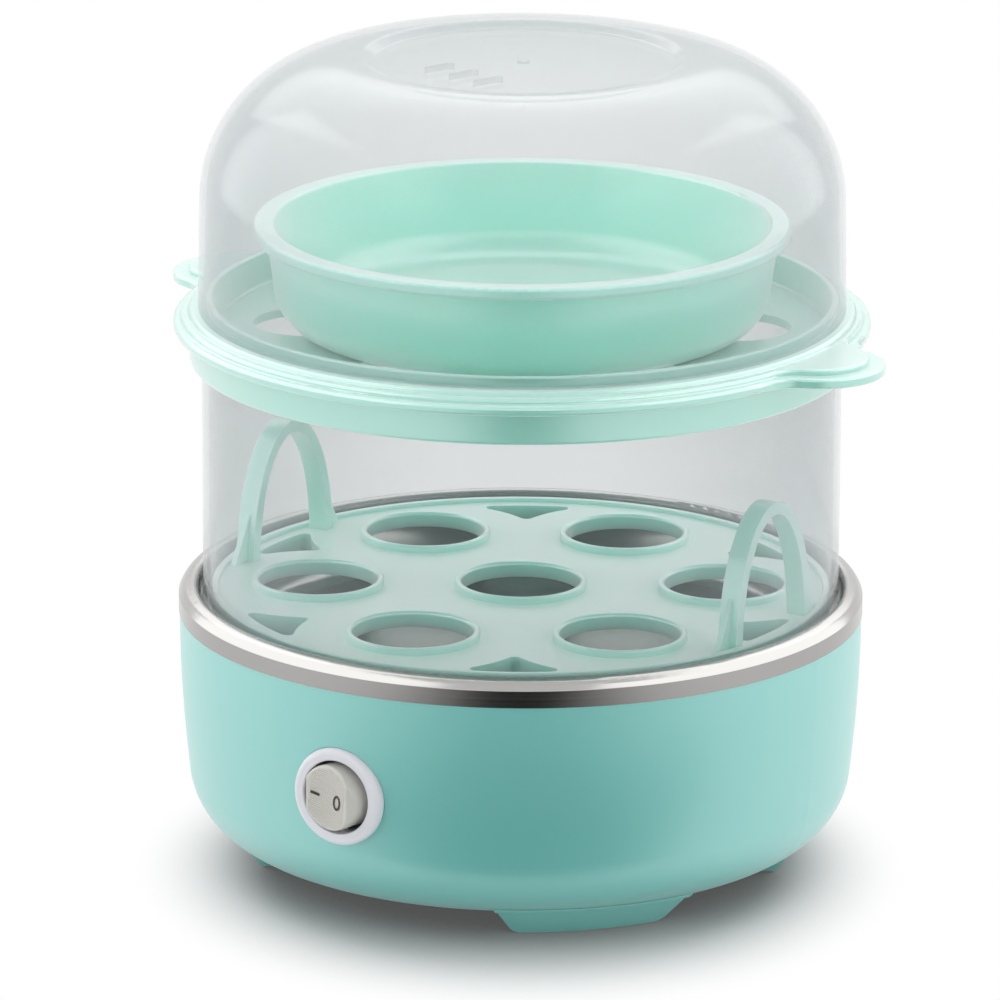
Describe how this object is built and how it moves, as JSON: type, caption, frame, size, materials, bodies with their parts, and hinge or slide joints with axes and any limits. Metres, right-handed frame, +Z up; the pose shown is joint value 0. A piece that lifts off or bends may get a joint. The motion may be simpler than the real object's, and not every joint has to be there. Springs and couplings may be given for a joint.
{
  "type": "egg cooker",
  "caption": "Two-tier electric egg cooker: heated base with a rocker switch, lift-out egg rack, clear ring, steaming tray, bowl and domed clear lid.",
  "frame": {"origin": "bottom centre, on the plane of the feet and on the axis of the round housing", "axes": "+Z up along the axis of the stack; -Y is the front, where the switch is; the tray's tabs and the rack's handles are at +X and -X"},
  "size_m": [0.196, 0.1715, 0.1995],
  "materials": {
    "aqua_plastic": "satin moulded polypropylene, aqua",
    "mint_plastic": "satin moulded polypropylene, pale mint",
    "frosted_clear": "clear polypropylene with a light haze",
    "stainless_steel": "bright spun stainless steel",
    "screw_steel": "zinc-plated steel",
    "tube_steel": "dull heater tube steel",
    "cast_aluminium": "cast aluminium",
    "brass": "stamped brass",
    "silicone": "white silicone rubber",
    "gland_rubber": "white soft plastic",
    "lead_sleeve": "white insulated lead",
    "white_plastic": "glossy white nylon",
    "rocker_plastic": "clear grey-white rocker with a ribbed face",
    "phenolic": "dark phenolic moulding",
    "ceramic_white": "white ceramic bead",
    "fuse_case": "plated fuse case",
    "lamp_glass": "small neon lamp"
  },
  "bodies": {
    "base": {"base_housing": "aqua_plastic", "bottom_cover": "aqua_plastic", "cover_screws": "screw_steel", "pan_posts": "screw_steel", "heating_pan": "stainless_steel", "pan_gasket": "silicone", "heater_plate": "cast_aluminium", "heating_tube": "tube_steel", "heater_beads": "ceramic_white", "heater_pins": "tube_steel", "thermostat": "phenolic", "thermostat_terminals": "brass", "thermostat_screws": "screw_steel", "thermal_fuse": "fuse_case", "fuse_clip": "screw_steel", "fuse_screw": "screw_steel", "switch_lead": "lead_sleeve", "thermostat_lead": "lead_sleeve", "fuse_lead": "lead_sleeve", "switch_body": "white_plastic", "switch_terminals": "brass", "switch_lamp": "lamp_glass", "cord_gland": "gland_rubber"},
    "rocker": {"switch_rocker": "rocker_plastic", "rocker_spring": "screw_steel", "rocker_plunger": "white_plastic"},
    "contact": {"contact_bar": "brass"},
    "rack": {"egg_rack": "mint_plastic"},
    "ring": {"chamber_ring": "frosted_clear"},
    "tray": {"steaming_tray": "mint_plastic"},
    "bowl": {"steaming_bowl": "mint_plastic"},
    "lid": {"lid": "frosted_clear"}
  },
  "joints": [
    {"name": "rocker_tilt", "type": "hinge", "parent": "base", "child": "rocker", "pos_m": [0, -0.08, 0.036], "axis": [0, 0, 1], "range_deg": [0, 24]},
    {"name": "contact_rock", "type": "hinge", "parent": "base", "child": "contact", "pos_m": [0, -0.068, 0.036], "axis": [0, 0, 1], "range_deg": [-14.4, 0]},
    {"name": "rack_lift", "type": "slide", "parent": "base", "child": "rack", "axis": [0, 0, 1], "range_m": [0, 0.06]},
    {"name": "ring_lift", "type": "slide", "parent": "rack", "child": "ring", "axis": [0, 0, 1], "range_m": [0, 0.06]},
    {"name": "tray_lift", "type": "slide", "parent": "ring", "child": "tray", "axis": [0, 0, 1], "range_m": [0, 0.04]},
    {"name": "bowl_lift", "type": "slide", "parent": "tray", "child": "bowl", "axis": [0, 0, 1], "range_m": [0, 0.04]},
    {"name": "lid_lift", "type": "slide", "parent": "bowl", "child": "lid", "axis": [0, 0, 1], "range_m": [0, 0.06]}
  ],
  "couplings": [
    {"joint": "contact_rock", "follows": "rocker_tilt", "ratio": -0.6}
  ]
}
